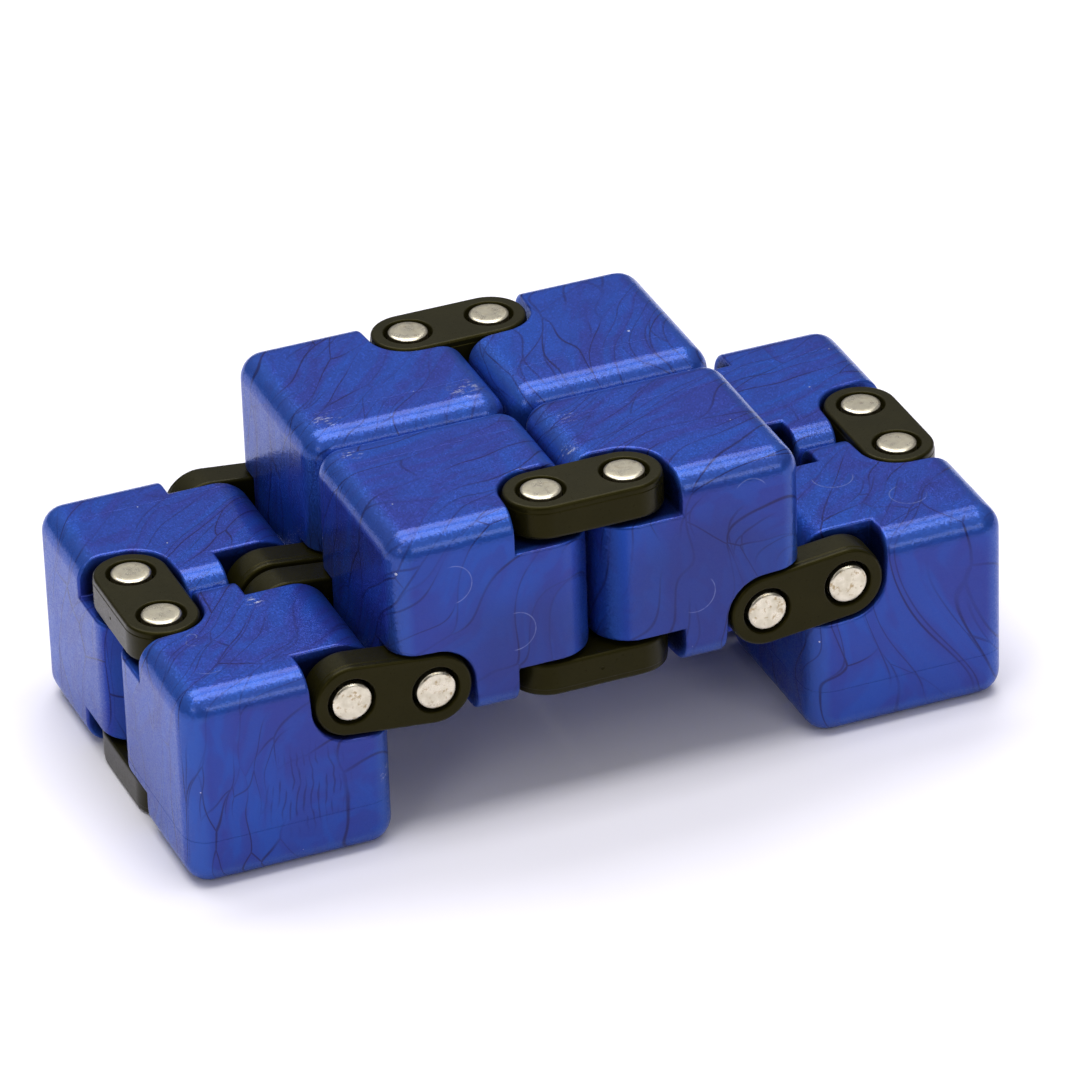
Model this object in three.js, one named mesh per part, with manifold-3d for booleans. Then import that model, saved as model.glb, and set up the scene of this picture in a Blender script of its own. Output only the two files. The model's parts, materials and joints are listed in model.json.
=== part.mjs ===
// Infinity cube: eight small cubes in a closed loop, each joined to the next along one edge by a
// double hinge of two link plates and two pins. It stands here as a bridge, with four cubes raised
// in the middle and a pair of cubes on the floor at each end.
// Units are millimetres. +X runs along the bridge, +Y to the back, +Z up. The origin is on the
// floor, under the middle of the bridge.

import * as THREE from "three";
import { RoundedBoxGeometry } from "three/addons/geometries/RoundedBoxGeometry.js";
import { mergeVertices } from "three/addons/utils/BufferGeometryUtils.js";
import Module from "manifold-3d";

const wasm = await Module();
wasm.setup();

// Driving dimensions.
const CUBE_SIDE = 19.6;
const FOLD_GAP = 0.4; // between two cubes that are folded face to face
const PIN_INSET = 3.8; // from a pin's axis to each of the two faces beside it
const LINK_SAG = THREE.MathUtils.degToRad(6); // how far the raised cubes' weight tips a link
const EDGE_RADIUS = 2.4;
const WALL = 1.8;
const CAP_HEIGHT = 4.9; // from the cap's outer face to the joint line round the cube
const JOINT_LINE = 0.3; // the gap between a cube's shell and its cap

// Hinge hardware.
const PIN_RADIUS = 1.85;
const PIN_CHAMFER = 0.2;
const RUNNING_BORE_RADIUS = 2.1;
const PLATE_HALF_WIDTH = 3.5;
const PLATE_THICKNESS = 3.3;
const PLATE_RECESS = 0.1; // below the cube's face, which the pins are flush with
const PLATE_CHAMFER = 0.4;
const PLATE_BORE_RADIUS = 2.05;

// The notch that a link plate turns in, at each end of a hinged edge.
const POCKET_DEPTH = 3.9;
const POCKET_CLEARANCE = 0.3; // round the plate's end
const POCKET_DRAFT = THREE.MathUtils.degToRad(3.5); // the inner walls open towards the faces
const BEARING_RING_RADIUS = 2.8;
const BEARING_RING_HEIGHT = 0.2;

// The inside of a cube.
const POST_WALL = 1.2; // round a running bore
const POCKET_WALL = 1.2;
const RIB_THICKNESS = 1.2;
const RIB_SETBACK = 1.9; // from the joint line down to the top of the ribs
const LIP_HEIGHT = 1.5;
const LIP_THICKNESS = 1.2;
const LIP_CLEARANCE = 0.3;

// Smoothness of the round stretches.
const EDGE_SEGMENTS = 2; // per half of a rounded edge
const ROUND_SIDES = 12;
const ARC_SIDES = 4; // per quarter turn

// Sizes that follow from the above.
const HALF = CUBE_SIDE / 2;
const LINK_PITCH = 2 * PIN_INSET + FOLD_GAP;
const PIN_FROM_CENTRE = HALF - PIN_INSET;
const POCKET_RADIUS = PLATE_HALF_WIDTH + POCKET_CLEARANCE;
const POCKET_EDGE = PIN_FROM_CENTRE - POCKET_RADIUS; // the pocket's inner walls, from the centre
const POCKET_FLOOR = HALF - POCKET_DEPTH;
const INSIDE = HALF - WALL;
const JOINT_PLANE = HALF - CAP_HEIGHT;
const SHELL_RIM = JOINT_PLANE - JOINT_LINE / 2;
const CAP_RIM = JOINT_PLANE + JOINT_LINE / 2;
const POST_RADIUS = RUNNING_BORE_RADIUS + POST_WALL;
const OVERCUT = 1; // how far a cutting solid runs past the surface that it cuts

const MATERIALS = {
  shell: { color: 0x2438a8, roughness: 0.32, metalness: 0.25 },
  cap: { color: 0x2438a8, roughness: 0.32, metalness: 0.25 },
  plate: { color: 0x17170f, roughness: 0.5, metalness: 0 },
  pin: { color: 0xb4b0a6, roughness: 0.3, metalness: 1 },
};

// ---- solids ----

function solid(geometry) {
  const plain = geometry.clone();
  plain.deleteAttribute("normal");
  plain.deleteAttribute("uv");
  const merged = mergeVertices(plain, 1e-5);
  return new wasm.Manifold(
    new wasm.Mesh({
      numProp: 3,
      vertProperties: new Float32Array(merged.attributes.position.array),
      triVerts: new Uint32Array(merged.index.array),
    }),
  );
}

function geometryOf(body) {
  const mesh = body.getMesh();
  const geometry = new THREE.BufferGeometry();
  geometry.setAttribute("position", new THREE.BufferAttribute(mesh.vertProperties, mesh.numProp));
  geometry.setIndex(new THREE.BufferAttribute(mesh.triVerts, 1));
  geometry.computeVertexNormals();
  return geometry;
}

// A box given by its lowest and highest corners.
function block(low, high) {
  const size = high.map((value, axis) => value - low[axis]);
  const geometry = new THREE.BoxGeometry(...size);
  geometry.translate(...high.map((value, axis) => (value + low[axis]) / 2));
  return solid(geometry);
}

// A point in a section, such as (across, up), turned so that the section's normal is the named axis.
// The Z axis keeps (u, v) as (x, y); the Y axis takes (u, v) to (x, z).
function standAlong(geometry, axis) {
  if (axis === "y") {
    geometry.rotateX(Math.PI / 2);
    geometry.scale(1, -1, 1);
    flipFaces(geometry);
  }
  return geometry;
}

// A mirrored geometry has its faces pointing in until each triangle's order is reversed.
function flipFaces(geometry) {
  const index = geometry.index;
  const position = geometry.attributes.position;
  const count = index ? index.count : position.count;
  for (let i = 0; i < count; i += 3) {
    if (index) {
      const first = index.getX(i);
      index.setX(i, index.getX(i + 2));
      index.setX(i + 2, first);
    } else {
      const first = new THREE.Vector3().fromBufferAttribute(position, i);
      const last = new THREE.Vector3().fromBufferAttribute(position, i + 2);
      position.setXYZ(i, ...last);
      position.setXYZ(i + 2, ...first);
    }
  }
}

// A section drawn at (u, v), extruded along the axis from one height to another.
function prism(shape, axis, from, to) {
  const geometry = new THREE.ExtrudeGeometry(shape, {
    depth: to - from,
    bevelEnabled: false,
    curveSegments: ARC_SIDES,
  });
  geometry.translate(0, 0, from);
  return solid(standAlong(geometry, axis));
}

// A round bar along the axis, about the point (u, v) of the section.
function bar(radius, axis, u, v, from, to) {
  const geometry = new THREE.CylinderGeometry(radius, radius, to - from, ROUND_SIDES);
  geometry.rotateX(Math.PI / 2);
  geometry.translate(u, v, (from + to) / 2);
  return solid(standAlong(geometry, axis));
}

// ---- one small cube ----
// It is modelled about its own centre, with one hinged edge along Z and the other along Y, both
// on pins PIN_INSET inside their faces. The cap closes the +Y side.

const HINGES = [
  { axis: "z", u: 1, v: -1 }, // the edge between the +X and -Y faces
  { axis: "y", u: -1, v: -1 }, // the edge between the -X and -Z faces
];

// The square notch at a hinged edge, with its inner corner round the pin.
function pocketShape(u, v, wall = 0) {
  const inner = POCKET_EDGE - wall;
  const radius = POCKET_RADIUS + wall;
  const outer = HALF + OVERCUT;
  const cornerU = inner + radius;
  const mouth = inner - (outer - cornerU) * Math.tan(POCKET_DRAFT);
  const shape = new THREE.Shape();
  shape.moveTo(u * outer, v * mouth);
  shape.lineTo(u * outer, v * outer);
  shape.lineTo(u * mouth, v * outer);
  shape.lineTo(u * inner, v * cornerU);
  const start = Math.atan2(0, -u);
  const end = Math.atan2(-v, 0);
  const turn = Math.sign(Math.sin(end - start));
  shape.absarc(u * cornerU, v * cornerU, radius, start, end, turn < 0);
  return shape;
}

// What a hinged edge loses outside the quarter round about its pin.
function edgeRoundShape(u, v) {
  const outer = HALF + OVERCUT;
  const shape = new THREE.Shape();
  shape.moveTo(u * HALF, v * PIN_FROM_CENTRE);
  shape.lineTo(u * outer, v * PIN_FROM_CENTRE);
  shape.lineTo(u * outer, v * outer);
  shape.lineTo(u * PIN_FROM_CENTRE, v * outer);
  shape.lineTo(u * PIN_FROM_CENTRE, v * HALF);
  const start = Math.atan2(v, 0);
  const end = Math.atan2(0, u);
  const turn = Math.sign(Math.sin(end - start));
  shape.absarc(u * PIN_FROM_CENTRE, v * PIN_FROM_CENTRE, PIN_INSET, start, end, turn < 0);
  return shape;
}

function outerForm() {
  const rounded = new RoundedBoxGeometry(
    CUBE_SIDE,
    CUBE_SIDE,
    CUBE_SIDE,
    EDGE_SEGMENTS,
    EDGE_RADIUS,
  );
  let form = solid(rounded);
  for (const { axis, u, v } of HINGES) {
    const pinU = u * PIN_FROM_CENTRE;
    const pinV = v * PIN_FROM_CENTRE;
    form = form.subtract(prism(edgeRoundShape(u, v), axis, -HALF - OVERCUT, HALF + OVERCUT));
    for (const side of [-1, 1]) {
      const [low, high] = [side * POCKET_FLOOR, side * (HALF + OVERCUT)].sort((a, b) => a - b);
      form = form.subtract(prism(pocketShape(u, v), axis, low, high));
      const ring = [
        side * (POCKET_FLOOR - 0.1),
        side * (POCKET_FLOOR + BEARING_RING_HEIGHT),
      ].sort((a, b) => a - b);
      form = form.add(bar(BEARING_RING_RADIUS, axis, pinU, pinV, ...ring));
    }
    form = form.subtract(
      bar(RUNNING_BORE_RADIUS, axis, pinU, pinV, -HALF - OVERCUT, HALF + OVERCUT),
    );
  }
  return form;
}

// What stands inside a cube's hollow: the posts round the bores, the walls under the pockets
// except the one in the cap, and two ribs that cross.
function insideStructure() {
  let structure = null;
  const keep = (piece) => {
    structure = structure ? structure.add(piece) : piece;
  };
  for (const { axis, u, v } of HINGES) {
    keep(bar(POST_RADIUS, axis, u * PIN_FROM_CENTRE, v * PIN_FROM_CENTRE, -HALF, HALF));
    for (const side of axis === "y" ? [-1] : [-1, 1]) {
      const [low, high] = [side * (POCKET_FLOOR - POCKET_WALL), side * HALF].sort((a, b) => a - b);
      keep(prism(pocketShape(u, v, POCKET_WALL), axis, low, high));
    }
  }
  const ribTop = SHELL_RIM - RIB_SETBACK;
  const rib = RIB_THICKNESS / 2;
  keep(block([-HALF, -HALF, -rib], [HALF, ribTop, rib]));
  keep(block([-rib, -HALF, -HALF], [rib, ribTop, HALF]));
  return structure;
}

function cubeShell(form) {
  const below = block([-CUBE_SIDE, -CUBE_SIDE, -CUBE_SIDE], [CUBE_SIDE, SHELL_RIM, CUBE_SIDE]);
  const hollow = block([-INSIDE, -INSIDE, -INSIDE], [INSIDE, SHELL_RIM + OVERCUT, INSIDE]);
  return form.intersect(below).subtract(hollow.subtract(insideStructure()));
}

function cubeCap(form) {
  const lipOuter = INSIDE - LIP_CLEARANCE;
  const lipInner = lipOuter - LIP_THICKNESS;
  const lipEnd = SHELL_RIM - LIP_HEIGHT;
  const above = block([-CUBE_SIDE, CAP_RIM, -CUBE_SIDE], [CUBE_SIDE, CUBE_SIDE, CUBE_SIDE]);
  const { axis, u, v } = HINGES[1];
  const pocketWall = prism(pocketShape(u, v, POCKET_WALL), axis, CAP_RIM, HALF);
  const core = block([-lipInner, lipEnd - OVERCUT, -lipInner], [lipInner, INSIDE, lipInner]);
  const postRoom = bar(
    POST_RADIUS + LIP_CLEARANCE,
    axis,
    u * PIN_FROM_CENTRE,
    v * PIN_FROM_CENTRE,
    lipEnd - OVERCUT,
    CAP_RIM,
  );
  const lip = block([-lipOuter, lipEnd, -lipOuter], [lipOuter, CAP_RIM, lipOuter])
    .subtract(core)
    .subtract(postRoom);
  return form.intersect(above).subtract(core.subtract(pocketWall)).add(lip);
}

// ---- hinge hardware ----

// A link plate lies across Z, with its two bores on the X axis and its outer face up.
function linkPlate() {
  const reach = LINK_PITCH / 2;
  const radius = PLATE_HALF_WIDTH;
  const outline = new THREE.Shape();
  outline.moveTo(-reach, -radius);
  outline.lineTo(reach, -radius);
  outline.absarc(reach, 0, radius, -Math.PI / 2, Math.PI / 2, false);
  outline.lineTo(-reach, radius);
  outline.absarc(-reach, 0, radius, Math.PI / 2, (3 * Math.PI) / 2, false);
  const geometry = new THREE.ExtrudeGeometry(outline, {
    depth: PLATE_THICKNESS - 2 * PLATE_CHAMFER,
    bevelThickness: PLATE_CHAMFER,
    bevelSize: PLATE_CHAMFER,
    bevelOffset: -PLATE_CHAMFER,
    bevelSegments: 1,
    curveSegments: ARC_SIDES,
  });
  geometry.translate(0, 0, PLATE_CHAMFER);
  let plate = solid(geometry);
  for (const side of [-1, 1]) {
    plate = plate.subtract(
      bar(PLATE_BORE_RADIUS, "z", side * reach, 0, -OVERCUT, PLATE_THICKNESS + OVERCUT),
    );
  }
  return plate;
}

// A pin stands along Z, about its middle.
function hingePin() {
  const tip = PIN_RADIUS - PIN_CHAMFER;
  const profile = [
    [0, -HALF],
    [tip, -HALF],
    [PIN_RADIUS, -HALF + PIN_CHAMFER],
    [PIN_RADIUS, HALF - PIN_CHAMFER],
    [tip, HALF],
    [0, HALF],
  ].map(([radius, height]) => new THREE.Vector2(radius, height));
  const geometry = new THREE.LatheGeometry(profile, ROUND_SIDES);
  geometry.rotateX(Math.PI / 2);
  return solid(geometry);
}

// ---- assembly ----

const form = outerForm();
const GEOMETRY = {
  shell: geometryOf(cubeShell(form)),
  cap: geometryOf(cubeCap(form)),
  plate: geometryOf(linkPlate()),
  pin: geometryOf(hingePin()),
};

function piece(kind, name) {
  const mesh = new THREE.Mesh(GEOMETRY[kind], new THREE.MeshStandardMaterial(MATERIALS[kind]));
  mesh.name = name;
  return mesh;
}

// The cubes' places. An end pair stands on the floor, and its pins carry the links, which slope
// down to the raised cubes' pins.
const rowY = HALF + FOLD_GAP / 2;
const centreX = HALF + FOLD_GAP / 2;
const centrePinX = centreX + PIN_FROM_CENTRE;
const endPinX = centrePinX + LINK_PITCH * Math.cos(LINK_SAG);
const endX = endPinX + PIN_FROM_CENTRE;
const endPinZ = CUBE_SIDE - PIN_INSET;
const centrePinZ = endPinZ - LINK_PITCH * Math.sin(LINK_SAG);
const centreZ = centrePinZ + PIN_FROM_CENTRE;

// mirror turns the cube's two hinged edges to the sides where its neighbours are. A tipped cube
// lies with its cap down.
const CUBES = [
  { name: "centre_front_left", at: [-centreX, -rowY, centreZ], mirror: [1, 1, 1] },
  { name: "centre_front_right", at: [centreX, -rowY, centreZ], mirror: [-1, 1, 1] },
  { name: "centre_back_left", at: [-centreX, rowY, centreZ], mirror: [1, -1, 1] },
  { name: "centre_back_right", at: [centreX, rowY, centreZ], mirror: [-1, -1, 1] },
  { name: "left_front", at: [-endX, -rowY, HALF], mirror: [1, 1, -1], tipped: true },
  { name: "left_back", at: [-endX, rowY, HALF], mirror: [-1, 1, -1] },
  { name: "right_front", at: [endX, -rowY, HALF], mirror: [-1, 1, -1], tipped: true },
  { name: "right_back", at: [endX, rowY, HALF], mirror: [1, 1, -1] },
];

// A hinge's middle is between its two pins. An upright hinge's pins stand along Z, and a level
// hinge's lie along Y.
const uprightY = rowY + PIN_FROM_CENTRE;
const outerX = endX + PIN_FROM_CENTRE;
const levelX = (centrePinX + endPinX) / 2;
const levelZ = (centrePinZ + endPinZ) / 2;
const ENDS = {
  upright: ["lower", "upper"],
  front: ["inner", "outer"],
  back: ["outer", "inner"],
};
const HINGE_SETS = [
  { name: "centre_front_hinge", at: [0, -uprightY, centreZ], pins: ["left", "right"] },
  { name: "centre_back_hinge", at: [0, uprightY, centreZ], pins: ["left", "right"] },
  { name: "left_end_hinge", at: [-outerX, 0, HALF], pins: ["front", "back"], along: "y" },
  { name: "right_end_hinge", at: [outerX, 0, HALF], pins: ["front", "back"], along: "y" },
  { name: "left_front_hinge", at: [-levelX, -rowY, levelZ], pins: ["end", "centre"], slope: 1 },
  { name: "left_back_hinge", at: [-levelX, rowY, levelZ], pins: ["end", "centre"], slope: 1 },
  { name: "right_front_hinge", at: [levelX, -rowY, levelZ], pins: ["centre", "end"], slope: -1 },
  { name: "right_back_hinge", at: [levelX, rowY, levelZ], pins: ["centre", "end"], slope: -1 },
];

function placeCube({ name, at, mirror, tipped }) {
  const group = new THREE.Group();
  group.position.set(...at);
  group.rotation.x = tipped ? -Math.PI / 2 : 0;
  group.scale.set(...mirror);
  group.add(piece("shell", `${name}_shell`), piece("cap", `${name}_cap`));
  return group;
}

function hingeEnds({ name, slope }) {
  if (!slope) return ENDS.upright;
  return name.includes("front") ? ENDS.front : ENDS.back;
}

function placeHinge(hinge) {
  const { name, at, pins, along, slope } = hinge;
  const group = new THREE.Group();
  group.position.set(...at);
  if (slope) group.rotation.set(Math.PI / 2, slope * LINK_SAG, 0, "YXZ");
  if (along === "y") group.rotation.z = Math.PI / 2;
  const plateBase = HALF - PLATE_RECESS - PLATE_THICKNESS;
  hingeEnds(hinge).forEach((end, index) => {
    const plate = piece("plate", `${name}_${end}_plate`);
    plate.rotation.x = index === 0 ? Math.PI : 0;
    plate.position.z = (index === 0 ? -1 : 1) * plateBase;
    group.add(plate);
  });
  pins.forEach((which, index) => {
    const pin = piece("pin", `${name}_${which}_pin`);
    pin.position.x = (index === 0 ? -1 : 1) * (LINK_PITCH / 2);
    group.add(pin);
  });
  return group;
}

const infinityCube = new THREE.Group();
infinityCube.name = "infinity_cube";
infinityCube.add(...CUBES.map(placeCube), ...HINGE_SETS.map(placeHinge));

export default infinityCube;
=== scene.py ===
"""Looks of the infinity cube: eight marbled blue cubes on black link plates and steel pins."""

import json
import math

import bmesh
import bpy
from mathutils import Matrix, Vector


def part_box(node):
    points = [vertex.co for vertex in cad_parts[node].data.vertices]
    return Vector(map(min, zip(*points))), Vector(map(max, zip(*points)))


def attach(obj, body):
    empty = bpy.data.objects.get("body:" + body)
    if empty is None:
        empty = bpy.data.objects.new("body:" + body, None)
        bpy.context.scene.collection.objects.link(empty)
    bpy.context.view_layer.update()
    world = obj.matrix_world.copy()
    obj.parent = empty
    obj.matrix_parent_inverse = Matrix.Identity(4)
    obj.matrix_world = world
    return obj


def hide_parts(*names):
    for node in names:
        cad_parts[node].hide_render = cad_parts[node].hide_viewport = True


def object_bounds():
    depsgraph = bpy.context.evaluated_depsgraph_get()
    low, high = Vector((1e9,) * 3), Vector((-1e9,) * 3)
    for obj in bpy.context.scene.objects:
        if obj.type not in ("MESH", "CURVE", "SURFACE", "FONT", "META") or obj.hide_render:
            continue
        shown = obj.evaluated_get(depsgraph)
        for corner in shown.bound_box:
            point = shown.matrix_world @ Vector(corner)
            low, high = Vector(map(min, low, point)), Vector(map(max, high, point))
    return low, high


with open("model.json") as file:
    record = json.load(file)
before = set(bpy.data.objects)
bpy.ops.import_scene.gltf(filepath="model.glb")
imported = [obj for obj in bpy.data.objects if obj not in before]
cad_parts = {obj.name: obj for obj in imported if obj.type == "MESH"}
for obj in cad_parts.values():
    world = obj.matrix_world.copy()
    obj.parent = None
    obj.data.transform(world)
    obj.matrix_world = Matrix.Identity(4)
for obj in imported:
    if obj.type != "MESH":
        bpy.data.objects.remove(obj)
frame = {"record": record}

cad_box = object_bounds()
scene = bpy.context.scene

# ---- driving dimensions, in millimetres, in a cube's or a hinge's own frame ----

HALF = 9.8  # half a cube's side
PIN_INSET = 3.8  # from a pin's axis to the two faces beside it
PIN_AT = HALF - PIN_INSET
EDGE_RADIUS = 2.4
EDGE_SEGMENTS = 8
BORE_RADIUS = 2.1
POCKET_RADIUS = 3.8
POCKET_DRAFT = math.radians(3.5)  # the inner walls open towards the faces
POCKET_FLOOR = 5.9
RIM_ROUND = 0.28  # on the edges of the pockets
RIM_SEGMENTS = 3
RIM_ANGLE = math.radians(40)  # edges that turn more than this are rounded
RING_RADIUS = 2.8
RING_HEIGHT = 0.2
RING_ROOT = 0.3  # how deep a bearing ring starts in the pocket's floor
WALL = 1.8
JOINT_PLANE = 4.9  # where the cap meets the shell
JOINT_GAP = 0.01
JOINT_ROUND = 0.025
JOINT_SEGMENTS = 2
JOINT_BAND = 1.9  # the joint's outer edges are this near to the cube's faces
JOINT_TURN = 1.0  # radians, which they turn through at least
POST_RADIUS = 3.3
POCKET_WALL = 1.2
RIB = 1.2
RIB_TOP = 2.85
LIP_INNER = 6.5
HINGES = (("z", 1, -1), ("y", -1, -1))  # axis of each pin, and the side it is on

LINK_REACH = 4.0  # from a plate's middle to each bore
PLATE_RADIUS = 3.5
PLATE_THICKNESS = 3.3
PLATE_TOP = PLATE_THICKNESS / 2
PLATE_FILLET = 0.3
PLATE_STEP = 0.05  # between the plate's two mould halves
PLATE_BORE = 2.05
PLATE_LEAD = 0.15  # lead-in of a bore on the inner face
PLATE_MOUTH = 2.25  # radius of the relief round a bore on the outer face
LINK_SAG = math.radians(6)

PIN_RADIUS = 1.85
PIN_HALF_LENGTH = 9.8
PIN_RIM = 0.2

OVERCUT = 1.0  # how far a cutter reaches past the face that it opens
WELD_DISTANCE = 1e-5  # points nearer than this are one
PLANE_TOLERANCE = 1e-4

ARC_STEPS = 14  # per quarter turn
FILLET_STEPS = 6
ROUND_STEPS = 40
PIN_STEPS = 48
GATE_STEPS = 16

MM = 0.001  # metres in a millimetre

# ---- driving values of the marbling ----

CELL_SCALE = 0.33  # cells per millimetre, across the flow
CELL_STRETCH = 0.28
LONG_CELL_SCALE = 0.5
LONG_CELL_STRETCH = 0.12
SLOPE_STEP = 0.005
STEEPEST = 0.97  # keeps the correction of a cell's slope away from a division by nothing
FLOW_STEP = 53.0  # keeps one cube's marbling apart from the next
DRIVEN = (-1.0, -1.0, 1.0)  # the way the flat pattern runs through a cube

CUBES = {  # mirror of the hinged edges, whether the cap is down, and the way the marbling flows
    "centre_front_left": ((1, 1, 1), False, (0.74, 0.0, 0.67)),
    "centre_front_right": ((-1, 1, 1), False, (0.65, 0.0, 0.76)),
    "centre_back_left": ((1, -1, 1), False, (0.2, 0.0, 0.98)),
    "centre_back_right": ((-1, -1, 1), False, (-0.5, 0.0, 0.86)),
    "left_front": ((1, 1, -1), True, (0.15, 0.0, 0.98)),
    "left_back": ((-1, 1, -1), False, (0.3, 0.0, 0.95)),
    "right_front": ((-1, 1, -1), True, (-0.12, 0.0, 0.99)),
    "right_back": ((1, 1, -1), False, (0.9, 0.0, 0.4)),
}
ARCS = (  # cube, axis of the face, centre from the cube's middle, radius, middle, half angle
    ("centre_front_left", 1, (-4.18, -HALF, 4.35), 1.9, (1.0, 0.0, 0.15), 95),
    ("centre_front_left", 1, (1.71, -HALF, -1.86), 1.9, (1.0, 0.0, 0.0), 100),
    ("centre_front_right", 1, (-0.98, -HALF, -2.35), 1.9, (0.8, 0.0, -0.6), 80),
    ("centre_front_right", 1, (4.54, -HALF, 6.35), 1.7, (0.1, 0.0, 1.0), 60),
    ("right_front", 2, (2.88, -3.28, HALF), 1.7, (-0.7, -0.7, 0.0), 130),
    ("right_front", 2, (-2.07, 2.51, HALF), 1.9, (-0.2, -1.0, 0.0), 95),
    ("left_front", 2, (-5.0, 0.9, HALF), 0.45, (0.6, 0.8, 0.0), 115),
    ("left_front", 2, (-5.3, -0.1, HALF), 0.55, (-1.0, -0.4, 0.0), 85),
    ("left_front", 2, (-5.4, -4.0, HALF), 1.7, (-0.2, -1.0, 0.0), 45),
)
SCUFFS = (  # place and radius, in the object's own millimetres
    ((-3.3, 3.6, 30.7), 2.0),
    ((-16.8, 3.4, 30.7), 1.7),
    ((-16.9, -3.2, 30.7), 1.2),
    ((0.7, -10.0, 30.7), 1.8),
    ((3.0, -5.3, 30.7), 1.2),
    ((-27.7, -5.7, 19.6), 1.1),
    ((-20.6, -19.6, 7.6), 1.5),
)
CLOUDS = (  # where it is deep violet: place and radius, in the object's own millimetres
    ((10.0, -21.0, 19.5), 12.0),
    ((-8.0, -21.0, 17.5), 8.5),
)
CONTOURS_AT = (1.2, -HALF, -1.6)  # the middle of the wavy lines, from left_front's middle
CONTOURS_REACH = (2.6, 5.4)  # radii where they are full and gone
CONTOUR_PITCH = 0.62
ARC_WIDTH = (0.01, 0.08)  # full and no colour, to each side of a rubbed arc
ARC_DEPTH = 0.6  # how far under the face an arc still shows, on the rounded edges
DUST_CELLS = 0.42  # per millimetre
DUST_SIZE = 0.06  # of the largest speck, as a share of its cell
FLAKE_CELLS = 9.0  # per millimetre
BUMP_DEPTH = 0.00003  # in metres

# ---- the photograph's view: a long lens from the front left ----

VIEW_AZIMUTH = math.radians(-21.341)
VIEW_ELEVATION = math.radians(30.219)
VIEW_ROLL = math.radians(-2.030)
VIEW_DISTANCE = 0.72165  # in metres
VIEW_HEIGHT = 11.164  # of the point that is looked at, in millimetres
VIEW_RIGHT = 1.740  # how far the camera is then moved to its own right and up, in millimetres
VIEW_UP = 4.151
LENS = 263.25
SENSOR_WIDTH = 36.0
CLIP_START = 0.05
CLIP_END = 20.0

# ---- floor and lamps, in metres ----

FLOOR_HALF = 1.5
FLOOR_FRONT = 0.28  # how far the floor reaches in front of the object
LAMPS = (  # name, place, degrees that it leans back and is swung about Z, size, radiance
    ("overhead_front_softbox", (0.0, -0.08, 0.92), 5, 0, (0.85, 0.40), 4.9),
    ("overhead_back_softbox", (0.0, 0.44, 0.81), -30, 0, (0.85, 0.44), 3.9),
    ("front_right_softbox", (0.29, -0.83, 0.46), 62, 19, (0.36, 0.24), 4.1),
    ("front_left_softbox", (-0.70, -0.55, 0.50), 60, -52, (0.30, 0.24), 4.4),
)

# ---- linear colours ----

CLEAR_BLUE = (0.016, 0.066, 0.375)
MILKY_BLUE = (0.015, 0.067, 0.385)
VIOLET_BLUE = (0.026, 0.036, 0.255)
DEEP_VIOLET = (0.019, 0.028, 0.16)
PAINTED_EDGE_HIGHLIGHT = (0.03, 0.105, 0.43)
VEIN_PURPLE = (0.012, 0.006, 0.05)
RUBBED_PALE = (0.42, 0.48, 0.75)
SCUFF_WHITE = (0.6, 0.62, 0.75)
PAINTED_POCKET_SHADE = (0.001, 0.002, 0.012)
BLUE_GLOSS = (0.3, 0.5, 1.0)
OLIVE_BLACK = (0.0098, 0.0087, 0.0015)
OLIVE_GREY = (0.0120, 0.0106, 0.0021)
OLIVE_GLOSS = (0.35, 0.3, 0.1)
NICKEL_PALE = (0.71, 0.655, 0.52)
NICKEL_DEEP = (0.60, 0.55, 0.42)
STAIN_BROWN = (0.32, 0.22, 0.09)
PAPER_WHITE = (0.905, 0.885, 0.95)
TENT_LOW = (0.05, 0.05, 0.06)
TENT_HIGH = (0.32, 0.32, 0.33)
OPENING_LOW = (0.03, 0.03, 0.035)
OPENING_HIGH = (0.6, 0.6, 0.61)


# ---- mesh tools ----


def temporary_object(mesh, name):
    made = bpy.data.objects.new(name, mesh)
    scene.collection.objects.link(made)
    return made


def settled(obj):
    """The object's mesh with its modifiers applied. The object is removed."""
    graph = bpy.context.evaluated_depsgraph_get()
    mesh = bpy.data.meshes.new_from_object(obj.evaluated_get(graph))
    bpy.data.objects.remove(obj)
    return mesh


def combined(base, tool, operation):
    """base with tool taken from it, added to it, or kept in common."""
    base_object = temporary_object(base, "boolean_base")
    tool_object = temporary_object(tool, "boolean_tool")
    modifier = base_object.modifiers.new("combine", "BOOLEAN")
    modifier.operation = operation
    modifier.solver = "EXACT"
    modifier.object = tool_object
    mesh = settled(base_object)
    bpy.data.objects.remove(tool_object)
    return mesh


def mesh_of(bm, name):
    bmesh.ops.recalc_face_normals(bm, faces=bm.faces)
    mesh = bpy.data.meshes.new(name)
    bm.to_mesh(mesh)
    bm.free()
    return mesh


def placed(axis, u, v, along):
    """A section point (u, v) at a height along the axis. The Y axis takes (u, v) to (x, z)."""
    return (u, v, along) if axis == "z" else (u, along, v)


def loft(rings, name):
    """A closed solid through rings of points, each ring with the same number of points."""
    bm = bmesh.new()
    loops = [[bm.verts.new(point) for point in ring] for ring in rings]
    for lower, upper in zip(loops, loops[1:]):
        count = len(lower)
        for i in range(count):
            j = (i + 1) % count
            bm.faces.new((lower[i], lower[j], upper[j], upper[i]))
    bm.faces.new(loops[0])
    bm.faces.new(loops[-1])
    return mesh_of(bm, name)


def prism(outline, axis, low, high):
    """A straight solid on an outline in section points, between two heights."""
    return loft([[placed(axis, u, v, h) for u, v in outline] for h in (low, high)], "prism")


def turned(profile, axis, u=0.0, v=0.0, steps=ROUND_STEPS):
    """A solid of revolution from (radius, height) pairs, about the axis through (u, v)."""
    angles = [2 * math.pi * i / steps for i in range(steps)]
    rings = []
    for radius, height in profile:
        ring = [(u + radius * math.cos(a), v + radius * math.sin(a)) for a in angles]
        rings.append([placed(axis, *point, height) for point in ring])
    return loft(rings, "turned")


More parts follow.
